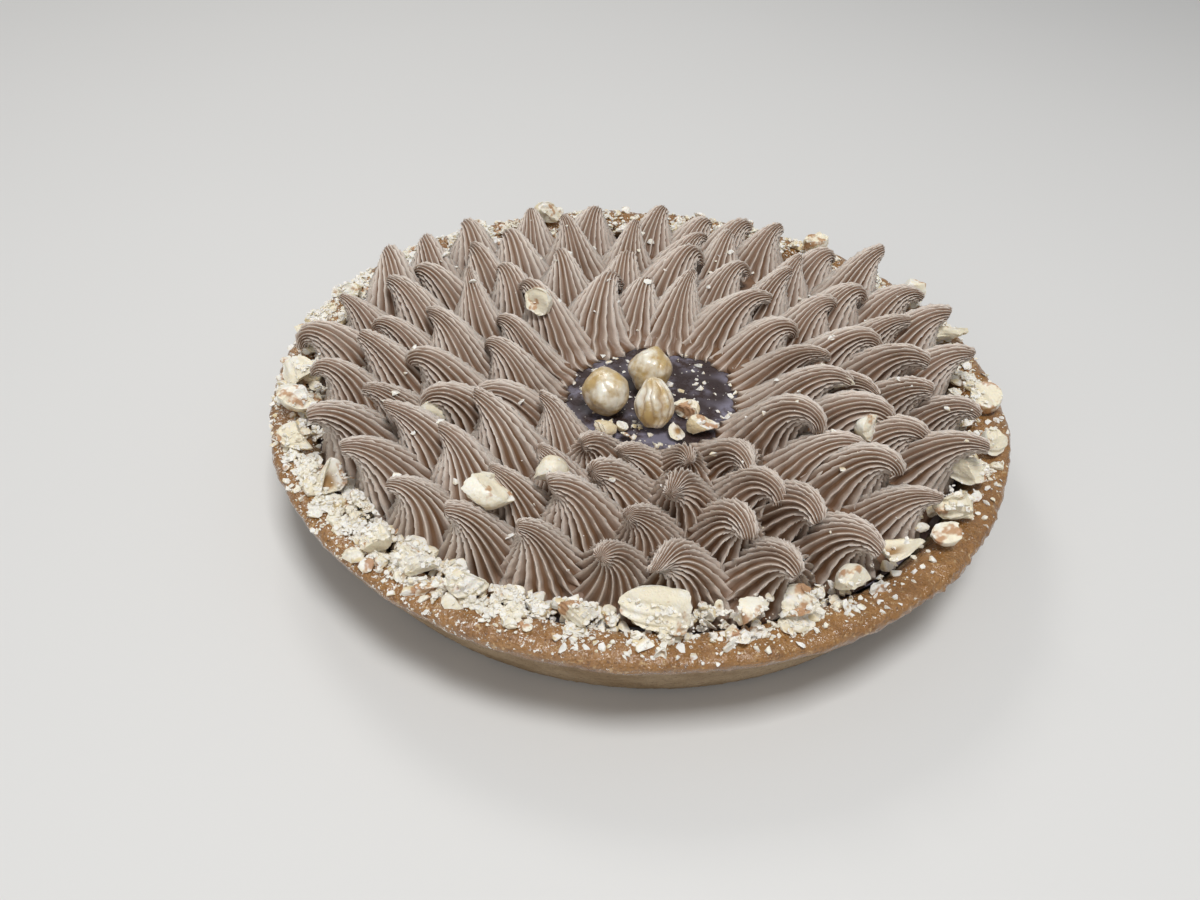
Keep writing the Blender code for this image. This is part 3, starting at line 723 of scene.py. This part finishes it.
def bits_mesh(name, egg_fineness, bits, draw, lumps, splits):
    """One mesh of many broken bits of nut, each given by its middle and its box."""
    egg = egg_mesh(egg_fineness)
    round_points = coordinates(egg)
    bm = bmesh.new()
    skins = []
    hollows = []
    for middle, box in bits:
        points, skin, hollow = broken(round_points, draw, draw.choice(splits), lumps)
        if lumps < 0.02:
            seed = Vector(draw.uniform(0, 60, 3))
            coarse = np.array([noise.noise(Vector(point) * 4 + seed) for point in points])
            fine = np.array([noise.noise(Vector(point) * 13 + seed) for point in points])
            rough = coarse * np.where(skin > 0, 0.05, 0.08)
            rough = rough + fine * np.where(skin > 0, 0.01, 0.035)
            points = points * (1 + rough[:, None])
        points = points * np.array(box) + np.array(middle)
        egg.vertices.foreach_set("co", points.astype(np.float32).ravel())
        bm.from_mesh(egg)
        skins.append(skin)
        hollows.append(hollow)
    bpy.data.meshes.remove(egg)
    mesh = bpy.data.meshes.new(name)
    bm.to_mesh(mesh)
    bm.free()
    paint(mesh, "skin", skins)
    paint(mesh, "furrow", hollows)
    return mesh


def large_pieces(look):
    """The large pieces, each in the place of its solid, as one piece of the scene."""
    boxes = [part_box(name) for name in NUT_PIECES]
    bits = [((low + high) / 2, high - low) for low, high in boxes]
    mesh = bits_mesh("chopped_nuts", 5, bits, np.random.default_rng(33), 0.0, (2, 3, 4))
    mesh.shade_smooth()
    mesh.set_sharp_from_angle(angle=math.radians(35))
    return dress("chopped_nuts", mesh, look, "hazelnut", *NUT_PIECES)


chopped = nut_look("chopped_nut", NUT_IVORY, 0.4, 1500, 0.12 * MM, 0.15, 0.565, 0.34)
large = large_pieces(chopped)


# Chips and crumbs. What broke off the nuts when they were chopped: chips of a few millimetres
# along the inside of the rim, and crumbs strewn over the rim, the cream and the chocolate.

RIM_CHIPS = 1150
RIM_CRUMBS = 7400
CREAM_CRUMBS = 480
WELL_CRUMBS = 300
CREAM_TIPS = 37 * MM
RIM_TOP = 28 * MM


def surface_tree(pieces):
    """A search tree over the tops of the pieces, to lay small things on."""
    points = []
    faces = []
    for piece in pieces:
        start = len(points)
        points.extend(vert.co.copy() for vert in piece.data.vertices)
        for face in piece.data.polygons:
            faces.append([start + index for index in face.vertices])
    return BVHTree.FromPolygons(points, faces)


def top_at(tree, x, y):
    """The highest point of the pieces under a place."""
    hit = tree.ray_cast(Vector((x, y, 0.1)), Vector((0, 0, -1)))
    return hit[0]


def near(degrees, middle, width):
    """1 at the middle, falling away on both sides, round the circle."""
    return math.exp(-(((degrees - middle + 180) % 360 - 180) / width) ** 2)


def cover(degrees, radius):
    """How thickly the rim is strewn at a place, in drifts, and nearly bare at the front right."""
    bare = near(degrees, 316, 15)
    thick = near(degrees, 235, 45) + 0.9 * near(degrees, 150, 30) + 0.8 * near(degrees, 12, 24)
    edge = 1 - 0.8 * ease(radius, 107, 112.5) * (1 - near(degrees, 145, 45))
    angle = math.radians(degrees)
    drift = noise.noise(Vector((math.cos(angle) * 11, math.sin(angle) * 11, radius * 0.2)))
    return max(0.015, (0.4 + 0.6 * thick) * (0.7 + 1.3 * drift) * edge * (1 - 0.85 * bare))


def rim_bits(tree, count, sizes, rng, inner, outer, lean, thin):
    """Places and boxes for bits of nut on the rim, thickest on its inside."""
    bits = []
    while len(bits) < count:
        degrees = rng.uniform(0, 360)
        radius = inner + (outer - inner) * rng.random() ** lean
        if rng.random() > cover(degrees, radius):
            continue
        size = sizes[0] + (sizes[1] - sizes[0]) * rng.random() ** thin
        angle = math.radians(degrees)
        spot = top_at(tree, radius * MM * math.cos(angle), radius * MM * math.sin(angle))
        if spot is None or spot.z > CREAM_TIPS:
            continue
        if spot.z < RIM_TOP:
            spot.z = rng.uniform(26, 30) * MM
        box = [size * rng.uniform(*shape) for shape in ((0.7, 1.3), (0.7, 1.3), (0.4, 0.8))]
        bits.append((spot + Vector((0, 0, box[2] * 0.3)), box))
    return bits


def strewn_bits(tree, rng):
    """Places and boxes for the crumbs that fell on the cream and in the open middle."""
    bits = []
    while len(bits) < CREAM_CRUMBS + WELL_CRUMBS:
        angle = rng.uniform(0, math.tau)
        radius = math.sqrt(rng.uniform(30 ** 2, 99 ** 2)) * MM
        if len(bits) >= CREAM_CRUMBS:
            radius = 27 * MM * rng.random() ** 0.6
        spot = top_at(tree, WELL_CENTRE[0] + radius * math.cos(angle),
                      WELL_CENTRE[1] + radius * math.sin(angle))
        if spot is None or math.hypot(spot.x, spot.y) > 101 * MM:
            continue
        size = (0.3 + 2.3 * rng.random() ** 5) * MM
        box = (size * rng.uniform(0.8, 1.4), size, size * 0.6)
        bits.append((spot + Vector((0, 0, size * 0.15)), box))
    return bits


def chips_piece(tree, look):
    """The chips on the rim, larger than the crumbs."""
    bits = rim_bits(tree, RIM_CHIPS, (1.3 * MM, 5.2 * MM), random.Random(5),
                    98.5, 113, 1.3, 1.7)
    mesh = bits_mesh("nut_chips", 2, bits, np.random.default_rng(6), 0.1, (1, 2, 3, 3))
    return dress("nut_chips", mesh, look, "hazelnut", "crust")


def crumbs_piece(tree, look):
    """The finest crumbs, everywhere."""
    bits = rim_bits(tree, RIM_CRUMBS, (0.35 * MM, 1.9 * MM), random.Random(9),
                    99, 114.3, 1.1, 2.2)
    bits += strewn_bits(tree, random.Random(12))
    mesh = bits_mesh("nut_crumbs", 1, bits, np.random.default_rng(10), 0.35, (2, 3, 4))
    return dress("nut_crumbs", mesh, look, "hazelnut")


chipped = nut_look("chipped_nut", NUT_IVORY, 0.45, 1500, 0.12 * MM, 0.1, 0.575, 0.44)
crumbly = nut_look("crumbled_nut", NUT_IVORY, 0.6, 2600, 0.1 * MM, 0.0, 0.66, 0.5)
chips = chips_piece(surface_tree([crust, filling] + cream_pieces), chipped)
crumbs_piece(surface_tree([crust, filling, large, chips] + cream_pieces), crumbly)


# Floor, light and camera. A plain pale floor, soft lights above, behind and in front, and a camera
# that looks down at the front of the tart.

FLOOR_GREY = (0.7, 0.69, 0.67, 1)
FLOOR_PALE = (0.73, 0.72, 0.7, 1)
DAYLIGHT = (1.0, 0.98, 0.95)
COOL_LIGHT = (0.98, 0.99, 1.0)
CAMERA_PLACE = (-0.01168, -0.24448, 0.20499)
CAMERA_TILT = 49.47
CAMERA_ROLL = 2.58
CAMERA_LENS = 27.9


def floor_mesh():
    """A wide flat square."""
    bm = bmesh.new()
    bmesh.ops.create_grid(bm, x_segments=1, y_segments=1, size=4)
    return smooth_mesh("floor", bm)


def floor_look():
    """Matt and nearly white."""
    look, tree, shader, place = new_look("pale_floor", 0.6, 0.3)
    tint = blend(tree, noise_node(tree, place, 3, 2), FLOOR_GREY, FLOOR_PALE)
    tree.links.new(tint, shader.inputs["Base Color"])
    return look


floor = bpy.data.objects.new("floor", floor_mesh())
floor.data.materials.append(floor_look())
bpy.context.scene.collection.objects.link(floor)


def soft_light(name, place, aim, size, watts, colour):
    """A square area light that looks at a point."""
    data = bpy.data.lights.new(name, "AREA")
    data.energy = watts
    data.size = size
    data.color = colour
    lamp = bpy.data.objects.new(name, data)
    lamp.location = place
    lamp.rotation_euler = (Vector(aim) - Vector(place)).to_track_quat("-Z", "Y").to_euler()
    bpy.context.scene.collection.objects.link(lamp)


soft_light("window", (-0.35, 0.75, 0.9), (0, 0, 0.03), 0.32, 2.6, DAYLIGHT)
soft_light("ceiling", (0.1, -0.3, 1.2), (0, 0, 0), 0.35, 9.3, COOL_LIGHT)
soft_light("room", (-0.45, -0.9, 0.55), (0, 0, 0.02), 0.9, 2.0, DAYLIGHT)
world = bpy.data.worlds.new("studio")
world.use_nodes = True
world.node_tree.nodes["Background"].inputs["Color"].default_value = (0.95, 0.97, 1.0, 1)
world.node_tree.nodes["Background"].inputs["Strength"].default_value = 0.3
bpy.context.scene.world = world
bpy.context.scene.view_settings.view_transform = "Standard"

camera_data = bpy.data.cameras.new("camera")
camera_data.sensor_width = 36
camera_data.lens = CAMERA_LENS
camera_data.clip_start = 0.01
camera = bpy.data.objects.new("camera", camera_data)
camera.location = CAMERA_PLACE
tilt = Matrix.Rotation(math.radians(CAMERA_TILT), 3, "X")
roll = Matrix.Rotation(math.radians(CAMERA_ROLL), 3, "Z")
camera.rotation_euler = (tilt @ roll).to_euler()
bpy.context.scene.collection.objects.link(camera)
bpy.context.scene.camera = camera
